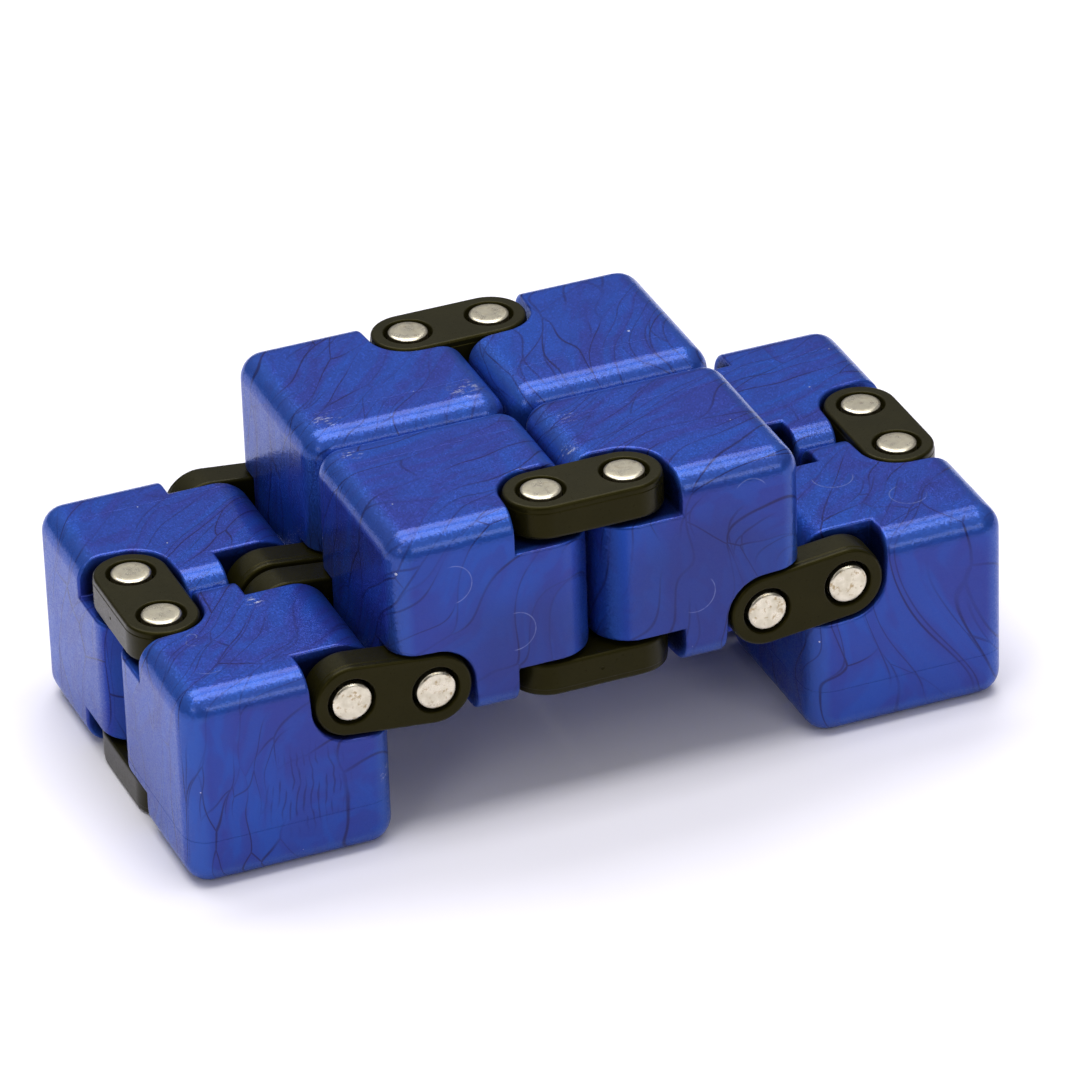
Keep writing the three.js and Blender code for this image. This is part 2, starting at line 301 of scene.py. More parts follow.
def block(low, high):
    """A box from its lowest to its highest corner."""
    corners = ((low[0], low[1]), (high[0], low[1]), (high[0], high[1]), (low[0], high[1]))
    return loft([[(x, y, z) for x, y in corners] for z in (low[2], high[2])], "block")


def arc(centre, radius, start, end, steps=ARC_STEPS):
    angles = [start + (end - start) * i / steps for i in range(steps + 1)]
    return [(centre[0] + radius * math.cos(a), centre[1] + radius * math.sin(a)) for a in angles]


# ---- one small cube, about its own centre, with its cap on the +Y side ----


def rounded_box():
    bm = bmesh.new()
    bmesh.ops.create_cube(bm, size=2 * HALF)
    bmesh.ops.bevel(
        bm,
        geom=list(bm.edges),
        offset=EDGE_RADIUS,
        offset_type="OFFSET",
        segments=EDGE_SEGMENTS,
        profile=0.5,
        affect="EDGES",
    )
    return mesh_of(bm, "rounded_box")


def corner_arc(u, v, radius):
    """The quarter round about the pin at (u, v), on the side towards the cube's middle."""
    middle = math.atan2(-v, -u)
    return arc((u * PIN_AT, v * PIN_AT), radius, middle - math.pi / 4, middle + math.pi / 4)


def pocket_outline(u, v, wall=0.0):
    """A hinge pocket about the pin at (u, v), open at both faces, or the wall round it."""
    outer = HALF + OVERCUT
    radius = POCKET_RADIUS + wall
    mouth = PIN_AT - radius - (outer - PIN_AT) * math.tan(POCKET_DRAFT)
    inner_round = corner_arc(u, v, radius)
    beyond = [(u * outer, v * mouth), (u * outer, v * outer), (u * mouth, v * outer)]
    if abs(inner_round[0][0]) > abs(inner_round[-1][0]):
        beyond.reverse()
    return inner_round + beyond


def edge_waste_outline(u, v):
    """What a hinged edge loses outside the quarter round about its pin."""
    outer = HALF + OVERCUT
    middle = math.atan2(v, u)
    quarter = math.pi / 4
    edge = arc((u * PIN_AT, v * PIN_AT), PIN_INSET, middle - quarter, middle + quarter)
    first, last = edge[0], edge[-1]
    if abs(first[0]) > abs(last[0]):
        return edge + [(last[0], v * outer), (u * outer, v * outer), (u * outer, first[1])]
    return edge + [(u * outer, last[1]), (u * outer, v * outer), (first[0], v * outer)]


def span(side, near, far):
    """Two distances from the middle as a low and a high height, on one side of it."""
    return (near, far) if side > 0 else (-far, -near)


def with_hinge_cuts(body):
    reach = HALF + OVERCUT
    for axis, u, v in HINGES:
        body = combined(body, prism(edge_waste_outline(u, v), axis, -reach, reach), "DIFFERENCE")
        for side in (-1, 1):
            pocket = prism(pocket_outline(u, v), axis, *span(side, POCKET_FLOOR, reach))
            body = combined(body, pocket, "DIFFERENCE")
    return body


def with_bores(body):
    """Bores the hinged edges, and raises a bearing ring round each bore's ends."""
    reach = HALF + OVERCUT
    for axis, u, v in HINGES:
        pin = (u * PIN_AT, v * PIN_AT)
        for side in (-1, 1):
            low, high = span(side, POCKET_FLOOR - RING_ROOT, POCKET_FLOOR + RING_HEIGHT)
            ring = turned([(RING_RADIUS, low), (RING_RADIUS, high)], axis, *pin)
            body = combined(body, ring, "UNION")
        bore = turned([(BORE_RADIUS, -reach), (BORE_RADIUS, reach)], axis, *pin)
        body = combined(body, bore, "DIFFERENCE")
    return body


def with_soft_rims(body):
    """Rounds every sharp edge a little, as moulded plastic has them."""
    rounded = temporary_object(body, "soft_rims")
    modifier = rounded.modifiers.new("rims", "BEVEL")
    modifier.limit_method = "ANGLE"
    modifier.angle_limit = RIM_ANGLE
    modifier.width = RIM_ROUND
    modifier.segments = RIM_SEGMENTS
    modifier.use_clamp_overlap = False
    return settled(rounded)


def structure():
    """Posts round the bores, walls under the pockets, and two crossed ribs."""
    pieces = []
    for axis, u, v in HINGES:
        post = [(POST_RADIUS, -HALF), (POST_RADIUS, HALF)]
        pieces.append(turned(post, axis, u * PIN_AT, v * PIN_AT))
        sides = (-1,) if axis == "y" else (-1, 1)  # the cap holds the Y pin's other pocket
        for side in sides:
            reach = span(side, POCKET_FLOOR - POCKET_WALL, HALF)
            pieces.append(prism(pocket_outline(u, v, POCKET_WALL), axis, *reach))
    pieces.append(block((-HALF, -HALF, -RIB / 2), (HALF, RIB_TOP, RIB / 2)))
    pieces.append(block((-RIB / 2, -HALF, -HALF), (RIB / 2, RIB_TOP, HALF)))
    whole = pieces[0]
    for piece in pieces[1:]:
        whole = combined(whole, piece, "UNION")
    return whole


def with_round_joint_rim(mesh, plane):
    """Rounds the outer edge where the cube is parted at the joint plane."""
    bm = bmesh.new()
    bm.from_mesh(mesh)
    bmesh.ops.remove_doubles(bm, verts=bm.verts, dist=WELD_DISTANCE)
    rim = []
    for edge in bm.edges:
        ends = [vert.co for vert in edge.verts]
        on_plane = all(abs(end.y - plane) < PLANE_TOLERANCE for end in ends)
        outside = all(max(abs(end.x), abs(end.z)) > HALF - JOINT_BAND for end in ends)
        if not (on_plane and outside and len(edge.link_faces) == 2):
            continue
        if edge.calc_face_angle() > JOINT_TURN:
            rim.append(edge)
    bmesh.ops.bevel(
        bm,
        geom=rim,
        offset=JOINT_ROUND,
        offset_type="OFFSET",
        segments=JOINT_SEGMENTS,
        profile=0.5,
        affect="EDGES",
    )
    return mesh_of(bm, mesh.name)


def cube_meshes():
    """The shell and the cap of a small cube."""
    reach = HALF + OVERCUT
    body = with_bores(with_soft_rims(with_hinge_cuts(rounded_box())))
    shell_top = JOINT_PLANE - JOINT_GAP / 2
    cap_bottom = JOINT_PLANE + JOINT_GAP / 2
    inside = HALF - WALL

    shell = combined(
        body.copy(), block((-reach, -reach, -reach), (reach, shell_top, reach)), "INTERSECT"
    )
    hollow = block((-inside, -inside, -inside), (inside, reach, inside))
    hollow = combined(hollow, structure(), "DIFFERENCE")
    shell = combined(shell, hollow, "DIFFERENCE")

    cap = combined(body, block((-reach, cap_bottom, -reach), (reach, reach, reach)), "INTERSECT")
    axis, u, v = HINGES[1]
    room = block((-LIP_INNER, 0, -LIP_INNER), (LIP_INNER, inside, LIP_INNER))
    pocket_wall = prism(pocket_outline(u, v, POCKET_WALL), axis, cap_bottom, HALF)
    cap = combined(cap, combined(room, pocket_wall, "DIFFERENCE"), "DIFFERENCE")
    return with_round_joint_rim(shell, shell_top), with_round_joint_rim(cap, cap_bottom)


# ---- hinge hardware ----


def stadium(inset):
    """A plate's outline, drawn in by an inset."""
    radius = PLATE_RADIUS - inset
    quarter = math.pi / 2
    right = arc((LINK_REACH, 0), radius, -quarter, quarter, 2 * ARC_STEPS)
    left = arc((-LINK_REACH, 0), radius, quarter, 3 * quarter, 2 * ARC_STEPS)
    return right + left


def plate_side():
    """(inset, height) up a plate's side: a soft foot, the mould's parting step and the fillet."""
    top = PLATE_TOP
    side = [(0.3, -top), (0.12, -top + 0.06), (0.02, -top + 0.2), (0.0, -top + 0.4)]
    side += [(0.0, top - 0.72), (0.0, top - 0.68)]
    side += [(PLATE_STEP, top - 0.64), (PLATE_STEP, top - 0.6)]
    for step in range(FILLET_STEPS + 1):
        angle = math.pi / 2 * step / FILLET_STEPS
        inset = PLATE_FILLET * (1 - math.cos(angle))
        side.append((PLATE_STEP + inset, top - PLATE_FILLET * (1 - math.sin(angle))))
    return side


def plate_bore():
    """(radius, height) up a plate's bore: the lead-in, the grip on the pin and the relief."""
    top = PLATE_TOP
    return [
        (PLATE_BORE + PLATE_LEAD, -top - OVERCUT),
        (PLATE_BORE + PLATE_LEAD, -top),
        (PLATE_BORE, -top + PLATE_LEAD),
        (PLATE_BORE, top - 1.0),
        (PLATE_MOUTH - 0.06, top - 0.9),
        (PLATE_MOUTH, top - 0.82),
        (PLATE_MOUTH, top - 0.16),
        (PLATE_MOUTH + 0.05, top - 0.06),
        (PLATE_MOUTH + 0.16, top),
        (PLATE_MOUTH + 0.2, top + OVERCUT),
    ]


def gate_mark():
    """A small pit in the middle of a plate's long side, where its mould was filled."""
    side = PLATE_RADIUS
    pit = [(0.08, side - 0.08), (0.16, side - 0.04), (0.34, side + OVERCUT)]
    return turned(pit, "y", 0.0, -0.1, GATE_STEPS)


def plate_mesh():
    """A link plate about its own middle, with its outer face up."""
    rings = [[(x, y, height) for x, y in stadium(inset)] for inset, height in plate_side()]
    plate = loft(rings, "plate")
    for side in (-1, 1):
        bore = turned(plate_bore(), "z")
        bore.transform(Matrix.Translation((side * LINK_REACH, 0, 0)))
        plate = combined(plate, bore, "DIFFERENCE")
    return combined(plate, gate_mark(), "DIFFERENCE")


def pin_mesh():
    """A long pin about its own middle, with barely crowned ends and a narrow bevel."""
    end = PIN_HALF_LENGTH
    rim = PIN_RADIUS - PIN_RIM
    upper = [(0.6, end), (1.2, end - 0.004), (rim - 0.05, end - 0.01), (rim, end - 0.02)]
    upper += [(PIN_RADIUS - 0.05, end - 0.1), (PIN_RADIUS - 0.02, end - 0.13)]
    upper += [(PIN_RADIUS, end - 0.17)]
    lower = [(radius, -height) for radius, height in reversed(upper)]
    return turned(upper + lower, "z", steps=PIN_STEPS)


# ---- placing ----


def middle_of(*nodes):
    """The middle of the CAD nodes' common box, in metres."""
    lows, highs = zip(*(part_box(node) for node in nodes))
    low = Vector(min(corner[i] for corner in lows) for i in range(3))
    high = Vector(max(corner[i] for corner in highs) for i in range(3))
    return (low + high) / 2


BODY_OF = {
    node: body for body, nodes in frame["record"]["behaviour"]["bodies"].items() for node in nodes
}


def stand_in(node, mesh, place, material):
    """A finished piece in place of a CAD node: mesh is in millimetres and place in metres."""
    own = mesh.copy()
    matrix = place @ Matrix.Scale(MM, 4)
    own.transform(matrix)
    if matrix.to_3x3().determinant() < 0:
        own.flip_normals()
    own.shade_smooth()
    own.materials.clear()
    own.materials.append(material)
    piece = bpy.data.objects.new(f"{node}_fine", own)
    own.name = piece.name
    scene.collection.objects.link(piece)
    modifier = piece.modifiers.new("flat_faces", "WEIGHTED_NORMAL")
    modifier.weight = 100
    modifier.keep_sharp = True
    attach(piece, BODY_OF[node])
    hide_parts(node)
    return piece


def mark_flow(piece, direction, shift):
    """Stores where each point is in the cube's marbling, in mm.

    The pattern is flat, and is driven through the cube along DRIVEN, which is as far from every
    face. Its X and Y lie across DRIVEN, and Y is the way the marbling flows.
    """
    driven = Vector(DRIVEN).normalized()
    along = Vector(direction)
    along = (along - driven * along.dot(driven)).normalized()
    across = along.cross(driven)
    flow = piece.data.attributes.new("flow", "FLOAT_VECTOR", "POINT")
    for point, vertex in zip(flow.data, piece.data.vertices):
        here = vertex.co / MM
        point.vector = (here.dot(across) + shift, here.dot(along) + shift, 0.0)


def mark_depth(piece, middle):
    """Stores where each point is from the cube's middle, in mm."""
    local = piece.data.attributes.new("local", "FLOAT_VECTOR", "POINT")
    for point, vertex in zip(local.data, piece.data.vertices):
        point.vector = (vertex.co - middle) / MM


def place_cubes(material):
    shell, cap = cube_meshes()
    for index, (name, (mirror, tipped, direction)) in enumerate(CUBES.items()):
        place = Matrix.Translation(middle_of(f"{name}_shell", f"{name}_cap"))
        if tipped:
            place = place @ Matrix.Rotation(-math.pi / 2, 4, "X")
        place = place @ Matrix.Diagonal((*mirror, 1))
        for part, mesh in (("shell", shell), ("cap", cap)):
            piece = stand_in(f"{name}_{part}", mesh, place, material)
            mark_flow(piece, direction, FLOW_STEP * index)
            mark_depth(piece, place.translation)


def turn_of(hinge):
    """How a hinge stands: its own X runs from pin to pin, and its own Z along the pins."""
    if hinge.startswith("centre"):
        return Matrix.Identity(4)
    if hinge.endswith("end_hinge"):
        return Matrix.Rotation(math.pi / 2, 4, "Z")
    slope = LINK_SAG if hinge.startswith("left") else -LINK_SAG
    return Matrix.Rotation(slope, 4, "Y") @ Matrix.Rotation(math.pi / 2, 4, "X")


def outward_of(node, hinge_middle, turn):
    """1 if the plate's outer face looks along the hinge's own Z, and -1 if against it."""
    away = middle_of(node) - hinge_middle
    return 1 if away.dot(turn.to_3x3().col[2]) > 0 else -1


def place_hardware(black, steel):
    plate = plate_mesh()
    pin = pin_mesh()
    hardware = [n for n in BODY_OF if n.endswith(("_plate", "_pin"))]
    for node in hardware:
        hinge = node[: node.index("_hinge") + len("_hinge")]
        own = [n for n in hardware if n.startswith(hinge)]
        turn = turn_of(hinge)
        place = Matrix.Translation(middle_of(node)) @ turn
        if node.endswith("_pin"):
            stand_in(node, pin, place, steel)
            continue
        if outward_of(node, middle_of(*own), turn) < 0:
            place = place @ Matrix.Rotation(math.pi, 4, "X")
        stand_in(node, plate, place, black)


# ---- materials ----


class Nodes:
    """A short way to write a node tree."""

    def __init__(self, owner):
        owner.use_nodes = True
        self.tree = owner.node_tree
        self.tree.nodes.clear()

    def put(self, value, socket):
        if isinstance(value, bpy.types.NodeSocket):
            self.tree.links.new(value, socket)
        elif isinstance(value, tuple) and len(value) == 3 and socket.type == "RGBA":
            socket.default_value = (*value, 1.0)
        else:
            socket.default_value = value

    def add(self, kind, inputs=None, output=0, **settings):
        node = self.tree.nodes.new(kind)
        for key, value in settings.items():
            setattr(node, key, value)
        for key, value in (inputs or {}).items():
            self.put(value, node.inputs[key])
        return node if output is None else node.outputs[output]

    def math(self, operation, a, b=0.0, clamp=False):
        return self.add("ShaderNodeMath", {0: a, 1: b}, operation=operation, use_clamp=clamp)

    def vector(self, operation, a, b=(0.0, 0.0, 0.0)):
        return self.add("ShaderNodeVectorMath", {0: a, 1: b}, operation=operation)

    def scaled(self, vector, factor):
        return self.add("ShaderNodeVectorMath", {0: vector, "Scale": factor}, operation="SCALE")

    def centred(self, colour):
        """A random colour as a random vector, which may point any way."""
        return self.vector("SUBTRACT", colour, (0.5, 0.5, 0.5))

    def measured(self, operation, a, b=(0.0, 0.0, 0.0)):
        """A number from vectors: a length, a distance or a dot product."""
        return self.add("ShaderNodeVectorMath", {0: a, 1: b}, output=1, operation=operation)

    def parts(self, vector):
        """The X, Y and Z of a vector."""
        return self.add("ShaderNodeSeparateXYZ", {0: vector}, output=None).outputs

    def stored(self, name):
        """A vector that is stored on the mesh."""
        return self.add("ShaderNodeAttribute", attribute_name=name, output=1)

    def ramp(self, value, low, high, to_low=0.0, to_high=1.0):
        """A smooth step from one value to another."""
        inputs = {0: value, 1: low, 2: high, 3: to_low, 4: to_high}
        return self.add("ShaderNodeMapRange", inputs, interpolation_type="SMOOTHSTEP")

    def mix(self, factor, a, b):
        node = self.add("ShaderNodeMix", output=None, data_type="RGBA")
        self.put(factor, node.inputs[0])
        self.put(a, node.inputs[6])
        self.put(b, node.inputs[7])
        return node.outputs[2]

    def over(self, base, share, strength, colour):
        """The base with a share of another colour over it."""
        return self.mix(self.math("MULTIPLY", share, strength), base, colour)

    def noise(self, vector, scale, detail=2.0, output=0, roughness=0.5):
        inputs = {"Vector": vector, "Scale": scale, "Detail": detail, "Roughness": roughness}
        return self.add("ShaderNodeTexNoise", inputs, output=output)

    def voronoi(self, vector, scale, feature="F1", output=0, **settings):
        inputs = {"Vector": vector, "Scale": scale}
        settings["feature"] = feature
        return self.add("ShaderNodeTexVoronoi", inputs, output=output, **settings)

    def place_in_mm(self):
        """Where a point is when the object is at rest, in millimetres."""
        return self.scaled(self.add("ShaderNodeTexCoord", output=3), 1.0 / MM)

    def warped(self, place, scale, amount):
        """The place, moved about by a smooth noise."""
        shift = self.centred(self.noise(place, scale, 0.0, output=1))
        return self.vector("ADD", place, self.scaled(shift, amount))

    def surface(self, inputs):
        """Ends a material's tree with one shader."""
        shader = self.add("ShaderNodeBsdfPrincipled", inputs)
        self.add("ShaderNodeOutputMaterial", {"Surface": shader}, output=None)


def distance_to_border(n, flow, scale, stretch):
    """How far it is, in mm, to the nearest border of cells that are drawn out along the flow.

    Stretching the cells makes the borders that lie across the flow seem further away. How
    steeply the distance changes along the flow tells how much, and it is corrected by that.
    """
    cells = n.vector("MULTIPLY", flow, (scale, scale * stretch, 1.0))
    beside = n.vector("ADD", cells, (0.0, SLOPE_STEP, 0.0))
    border = n.voronoi(cells, 1.0, "DISTANCE_TO_EDGE", voronoi_dimensions="2D")
    next_border = n.voronoi(beside, 1.0, "DISTANCE_TO_EDGE", voronoi_dimensions="2D")
    slope = n.math("DIVIDE", n.math("SUBTRACT", next_border, border), SLOPE_STEP)
    lost = n.math("MULTIPLY", n.math("MULTIPLY", slope, slope), 1.0 - stretch**2)
    steepness = n.math("SQRT", n.math("SUBTRACT", 1.0, n.math("MINIMUM", lost, STEEPEST)))
    return n.math("DIVIDE", border, n.math("MULTIPLY", steepness, scale))


def veins(n, flow, border):
    """The dark purple lines of the marbling: forked ones, and long close ones in places."""
    fade = n.ramp(n.noise(flow, 0.14, 1.0), 0.38, 0.6, 0.25, 1.0)
    forked = n.math("MULTIPLY", n.ramp(border, 0.02, 0.12, 1.0, 0.0), fade)
    aside = n.vector("ADD", flow, (9.0, 4.0, 17.0))
    long_border = distance_to_border(n, aside, LONG_CELL_SCALE, LONG_CELL_STRETCH)
    region = n.ramp(n.noise(aside, 0.12, 0.5), 0.46, 0.6)
    close = n.math("MULTIPLY", n.ramp(long_border, 0.02, 0.1, 1.0, 0.0), region)
    return n.math("MAXIMUM", forked, n.math("MULTIPLY", close, 0.65))


def violet_share(n, flow, border):
    """Soft patches along the flow, some of them whole cells, and a shade beside some veins."""
    long_patch = n.vector("MULTIPLY", flow, (1.0, 0.35, 1.0))
    patch = n.ramp(n.noise(long_patch, 0.17, 1.5), 0.4, 0.6)
    thin_streak = n.vector("MULTIPLY", flow, (0.7, 0.11, 1.0))
    streaks = n.ramp(n.noise(thin_streak, 1.0, 2.0), 0.44, 0.6)
    cells = n.vector("MULTIPLY", flow, (CELL_SCALE, CELL_SCALE * CELL_STRETCH, 1.0))
    cell_tone, vein_tone, _ = n.parts(n.voronoi(cells, 1.0, output=1, voronoi_dimensions="2D"))
    beside = n.math("MULTIPLY", n.ramp(border, 0.0, 1.1, 1.0, 0.0), vein_tone)
    share = n.math("ADD", n.math("MULTIPLY", patch, 0.35), n.math("MULTIPLY", streaks, 0.45))
    share = n.math("ADD", share, n.math("MULTIPLY", cell_tone, 0.3))
    return n.math("ADD", share, n.math("MULTIPLY", beside, 0.45), clamp=True)


def clouds(n, here):
    """A few larger patches of deep violet."""
    bent = n.warped(here, 0.16, 7.0)
    total = 0.0
    for place, radius in CLOUDS:
        away = n.measured("DISTANCE", bent, place)
        total = n.math("MAXIMUM", total, n.ramp(away, 0.35 * radius, radius, 1.0, 0.0))
    return total


def contours(n, here):
    """A patch of close wavy upright lines, like wood grain, on the front of left_front."""
    centre = middle_of("left_front_shell", "left_front_cap") / MM + Vector(CONTOURS_AT)
    aside = n.vector("SUBTRACT", here, tuple(centre))
    where = n.ramp(n.measured("LENGTH", aside), *CONTOURS_REACH, 1.0, 0.0)
    bent = n.warped(n.warped(aside, 0.22, 1.6), 0.9, 0.35)
    band = n.math("PINGPONG", n.math("DIVIDE", n.parts(bent)[0], CONTOUR_PITCH), 0.5)
    broken = n.ramp(n.noise(n.vector("MULTIPLY", here, (1.6, 0.1, 0.35)), 1.0, 1.0), 0.4, 0.55)
    line = n.math("MULTIPLY", n.ramp(band, 0.05, 0.22, 1.0, 0.0), broken)
    return n.math("MULTIPLY", line, where), where


def arc_mark(n, here, centre, face, radius, facing, spread):
    """A thin rubbed arc on a face. facing is where its middle lies, and spread its half angle."""
    aside = n.vector("SUBTRACT", here, centre)
    flat = tuple(0.0 if i == face else 1.0 for i in range(3))
    sunk = tuple(1.0 if i == face else 0.0 for i in range(3))
    across = n.vector("MULTIPLY", aside, flat)
    reach = n.measured("LENGTH", across)
    depth = n.measured("LENGTH", n.vector("MULTIPLY", aside, sunk))
    middle = Vector(facing).normalized()
    turned_by = n.measured("DOT_PRODUCT", n.vector("NORMALIZE", across), middle)
    off_line = n.math("ABSOLUTE", n.math("SUBTRACT", reach, radius))
    line = n.ramp(off_line, *ARC_WIDTH, 1.0, 0.0)
    low = math.cos(math.radians(spread))
    within = n.ramp(turned_by, low, low + 0.25)
    shallow = n.math("LESS_THAN", depth, ARC_DEPTH)
    return n.math("MULTIPLY", n.math("MULTIPLY", line, within), shallow)


def beyond_core(n):
    """How far out each point is from the flat-sided core of its cube, along X, Y and Z."""
    core = HALF - EDGE_RADIUS
    beyond = n.vector("SUBTRACT", n.vector("ABSOLUTE", n.stored("local")), (core, core, core))
    return n.vector("MAXIMUM", beyond, (0.0, 0.0, 0.0))


def edge_share(n):
    """0 on a cube's flat faces, and 1 in the middle of its rounded edges."""
    x, y, z = n.parts(beyond_core(n))
    pairs = n.math("ADD", n.math("MULTIPLY", x, y), n.math("MULTIPLY", y, z))
    return n.ramp(n.math("ADD", pairs, n.math("MULTIPLY", z, x)), 0.4, 2.6)


def sunken(n, start, end):
    """0 on the outside of a cube, and 1 down in its pockets and bores, between two depths."""
    reach = n.measured("LENGTH", beyond_core(n))
    return n.ramp(reach, EDGE_RADIUS - end, EDGE_RADIUS - start, 1.0, 0.0)


def rubbed_arcs(n, here):
    """The pale arcs that other cubes' corners have rubbed on the faces."""
    total = 0.0
    for cube, face, offset, radius, facing, spread in ARCS:
        centre = middle_of(f"{cube}_shell", f"{cube}_cap") / MM + Vector(offset)
        mark = arc_mark(n, here, tuple(centre), face, radius, facing, spread)
        total = n.math("MAXIMUM", total, mark)
    patchy = n.ramp(n.noise(here, 1.4, 2.0), 0.3, 0.6, 0.35, 1.0)
    return n.math("MULTIPLY", total, patchy)


def scuffs(n, here):
    """Whitish rubbing in a few places on the top corners, and specks of dust all over."""
    rubbed = 0.0
    for place, radius in SCUFFS:
        away = n.measured("DISTANCE", here, place)
        rubbed = n.math("MAXIMUM", rubbed, n.ramp(away, 0.25 * radius, radius, 1.0, 0.0))
    grit = n.noise(n.vector("MULTIPLY", here, (0.6, 1.6, 1.6)), 1.6, 4.0, roughness=0.75)
    rubbed = n.math("MULTIPLY", rubbed, n.ramp(grit, 0.53, 0.62))
    away, chance, *_ = n.voronoi(here, DUST_CELLS, output=None).outputs
    size = n.math("MULTIPLY", n.math("POWER", n.parts(chance)[0], 3.0), DUST_SIZE)
    dust = n.math("LESS_THAN", away, size)
    return n.math("MAXIMUM", n.math("MULTIPLY", rubbed, 0.75), dust)


def marbled_blue(n, here, haze):
    """The colour of the marbled plastic, with its veins and wear, a painted highlight on its
    rounded edges and painted shade in its pockets and bores.
    """
    bent = n.warped(n.warped(n.stored("flow"), 0.07, 9.0), 0.2, 2.6)
    border = distance_to_border(n, bent, CELL_SCALE, CELL_STRETCH)
    close_lines, where = contours(n, here)
    lines = n.math("MULTIPLY", veins(n, bent, border), n.math("SUBTRACT", 1.0, where))
    marks = n.math("MAXIMUM", lines, n.math("MULTIPLY", close_lines, 0.6))
    base = n.mix(violet_share(n, bent, border), CLEAR_BLUE, VIOLET_BLUE)
    base = n.over(base, haze, 0.3, MILKY_BLUE)
    base = n.over(base, clouds(n, here), 0.55, DEEP_VIOLET)
    # Painted highlight: the rounded edges are made a paler blue, as if catching the light.
    base = n.over(base, edge_share(n), 0.45, PAINTED_EDGE_HIGHLIGHT)
    base = n.over(base, marks, 0.74, VEIN_PURPLE)
    base = n.over(base, rubbed_arcs(n, here), 0.24, RUBBED_PALE)
    base = n.over(base, scuffs(n, here), 0.7, SCUFF_WHITE)
    # Painted shade: the pockets and bores are darkened nearly to black, more so deeper down.
    return n.over(base, sunken(n, 0.2, 1.1), 0.85, PAINTED_POCKET_SHADE)


def flaked(n, tilt, amount):
    """The surface's normal, tilted by mica flakes under the clear skin."""
    normal = n.add("ShaderNodeNewGeometry", output=1)
    return n.vector("NORMALIZE", n.vector("ADD", normal, n.scaled(tilt, amount)))


def blue_material():
    material = bpy.data.materials.new("marbled_blue_plastic")
    n = Nodes(material)
    here = n.place_in_mm()
    haze = n.noise(here, 0.5, 3.0)
    tilt = n.centred(n.voronoi(here, FLAKE_CELLS, output=1))
    n.surface(
        {
            "Base Color": marbled_blue(n, here, haze),
            "Metallic": 0.5,
            "Roughness": n.ramp(haze, 0.3, 0.7, 0.32, 0.38),
            "Specular IOR Level": 0.1,
            "Specular Tint": BLUE_GLOSS,
            "Normal": flaked(n, tilt, 0.22),
            # The clear coat is thinned in the pockets and bores, painted shade over their
            # reflections.
            "Coat Weight": n.ramp(sunken(n, 0.05, 0.4), 0.0, 1.0, 0.58, 0.05),
            "Coat Roughness": 0.19,
            "Coat IOR": 1.38,
            "Coat Normal": flaked(n, tilt, 0.05),
        }
    )
    return material


def black_material():
    material = bpy.data.materials.new("black_moulded_plastic")
    n = Nodes(material)
    here = n.place_in_mm()
    grain = n.noise(here, 3.0, 4.0, roughness=0.7)
    cloud = n.noise(here, 0.3, 2.0)
    bump = {"Strength": 0.25, "Distance": BUMP_DEPTH, "Height": grain}
    n.surface(
        {
            "Base Color": n.mix(n.ramp(cloud, 0.3, 0.7), OLIVE_BLACK, OLIVE_GREY),
            "Roughness": n.ramp(grain, 0.3, 0.7, 0.27, 0.35),
            "IOR": 1.4,
            "Specular Tint": OLIVE_GLOSS,
            "Normal": n.add("ShaderNodeBump", bump),
        }
    )
    return material


def steel_material():
    """Nickel plate with brown stains, which are faint on the pin ends that face up at rest."""
    material = bpy.data.materials.new("nickel_plated_steel")
    n = Nodes(material)
    here = n.place_in_mm()
    cloud = n.noise(here, 1.2, 3.0)
    tint = n.mix(n.ramp(cloud, 0.35, 0.7), NICKEL_PALE, NICKEL_DEEP)
    pits = n.ramp(n.noise(here, 2.1, 3.0, roughness=0.6), 0.52, 0.7)
    upright = n.parts(n.add("ShaderNodeTexCoord", output=1))[2]
    worn = n.math("MULTIPLY", pits, n.ramp(upright, 0.5, 0.9, 0.75, 0.25))
    bump = {"Strength": 0.2, "Distance": BUMP_DEPTH, "Height": cloud}
    n.surface(
        {
            "Base Color": n.mix(worn, tint, STAIN_BROWN),
            "Metallic": 1.0,
            "Roughness": n.ramp(cloud, 0.3, 0.7, 0.26, 0.36),
            "Normal": n.add("ShaderNodeBump", bump),
        }
    )
    return material


# ---- floor, lights and camera ----


def floor():
    """White paper under the object, which ends not far in front of it."""
    bm = bmesh.new()
    bmesh.ops.create_grid(bm, x_segments=2, y_segments=2, size=FLOOR_HALF)
    ground = bpy.data.objects.new("studio_floor", mesh_of(bm, "studio_floor"))
    ground.location = (0.0, FLOOR_HALF - FLOOR_FRONT, cad_box[0].z)
    scene.collection.objects.link(ground)
    material = bpy.data.materials.new("white_paper")
    n = Nodes(material)
    n.surface({"Base Color": PAPER_WHITE, "Roughness": 0.9, "Specular IOR Level": 0.1})
    ground.data.materials.append(material)


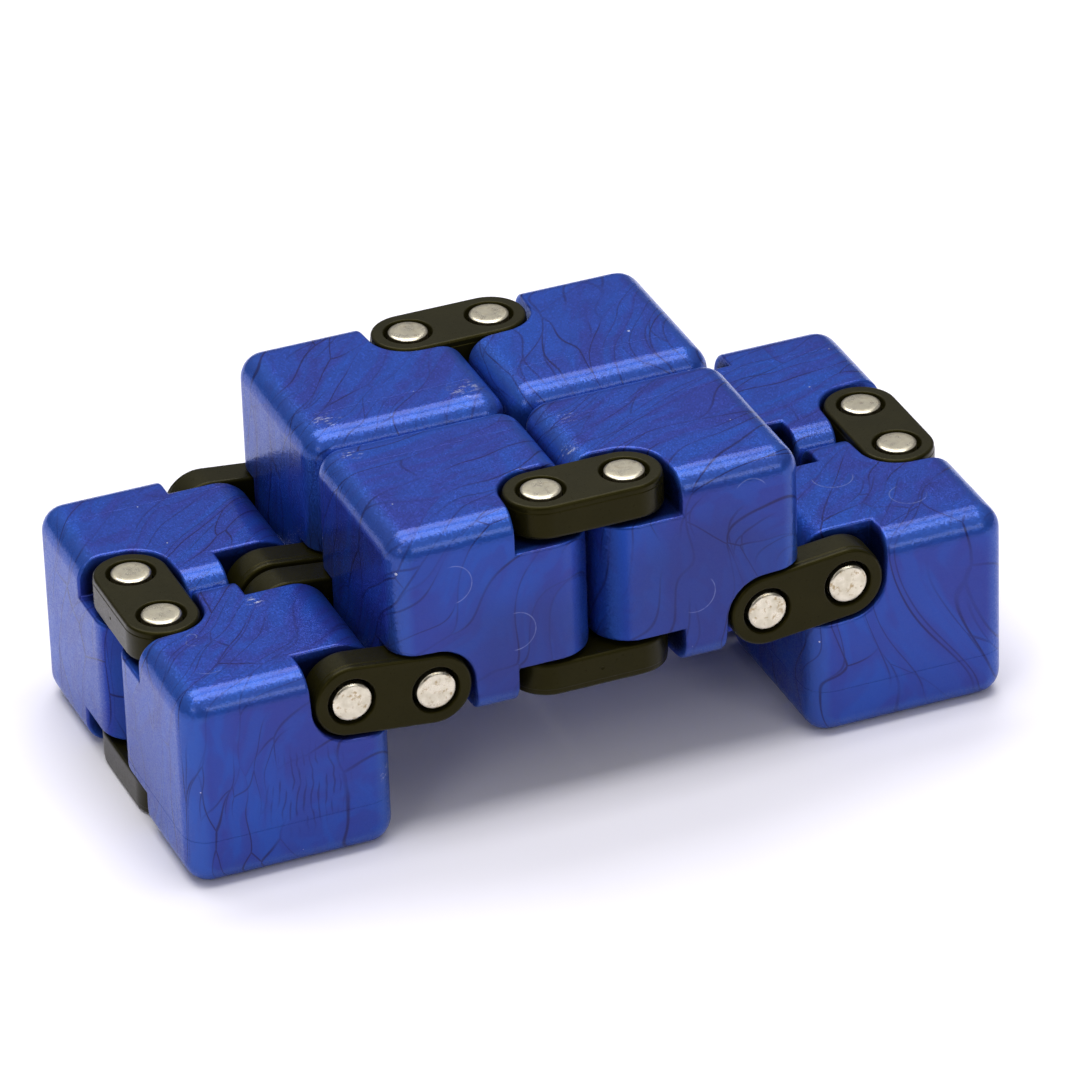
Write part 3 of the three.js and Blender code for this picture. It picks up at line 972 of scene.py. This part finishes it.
def tent():
    """A grey tent that is darkest near the horizon, with a darker opening in front."""
    world = bpy.data.worlds.new("tent")
    scene.world = world
    n = Nodes(world)
    direction = n.add("ShaderNodeTexCoord", output=0)
    _, back, height = n.parts(direction)
    ahead = n.ramp(back, -0.55, 0.15, 1.0, 0.0)
    opening = n.mix(n.ramp(height, 0.35, 0.8), OPENING_LOW, OPENING_HIGH)
    wall = n.mix(n.ramp(height, 0.0, 0.5), TENT_LOW, TENT_HIGH)
    tone = n.mix(ahead, wall, opening)
    shader = n.add("ShaderNodeBackground", {"Color": tone, "Strength": 1.0})
    n.add("ShaderNodeOutputWorld", {"Surface": shader}, output=None)


def softbox(name, place, tilt, turn, size, radiance):
    """A rectangular lamp. tilt leans it back from facing down, and turn swings it about Z."""
    data = bpy.data.lights.new(name, "AREA")
    data.shape = "RECTANGLE"
    data.size, data.size_y = size
    data.energy = radiance * math.pi * size[0] * size[1]
    lamp = bpy.data.objects.new(name, data)
    lamp.location = place
    lamp.rotation_euler = (math.radians(tilt), 0.0, math.radians(turn))
    scene.collection.objects.link(lamp)


def lights():
    """Two lamps over the object with a gap between them, and two low in front of it."""
    for lamp in LAMPS:
        softbox(*lamp)


def camera():
    sine, cosine = math.sin(VIEW_AZIMUTH), math.cos(VIEW_AZIMUTH)
    flat = math.cos(VIEW_ELEVATION)
    target = Vector((0.0, 0.0, VIEW_HEIGHT * MM))
    level = Vector((cosine, sine, 0.0))
    back = Vector((sine * flat, -cosine * flat, math.sin(VIEW_ELEVATION)))
    upright = back.cross(level)
    right = level * math.cos(VIEW_ROLL) + upright * math.sin(VIEW_ROLL)
    up = upright * math.cos(VIEW_ROLL) - level * math.sin(VIEW_ROLL)
    data = bpy.data.cameras.new("camera")
    data.sensor_width = SENSOR_WIDTH
    data.lens = LENS
    data.clip_start = CLIP_START
    data.clip_end = CLIP_END
    eye = bpy.data.objects.new("camera", data)
    place = Matrix((right, up, back)).transposed().to_4x4()
    place.translation = target + back * VIEW_DISTANCE + right * VIEW_RIGHT * MM + up * VIEW_UP * MM
    eye.matrix_world = place
    scene.collection.objects.link(eye)
    scene.camera = eye


# ---- the whole scene ----

place_cubes(blue_material())
place_hardware(black_material(), steel_material())
floor()
tent()
lights()
camera()
scene.view_settings.view_transform = "Standard"

bpy.context.view_layer.update()
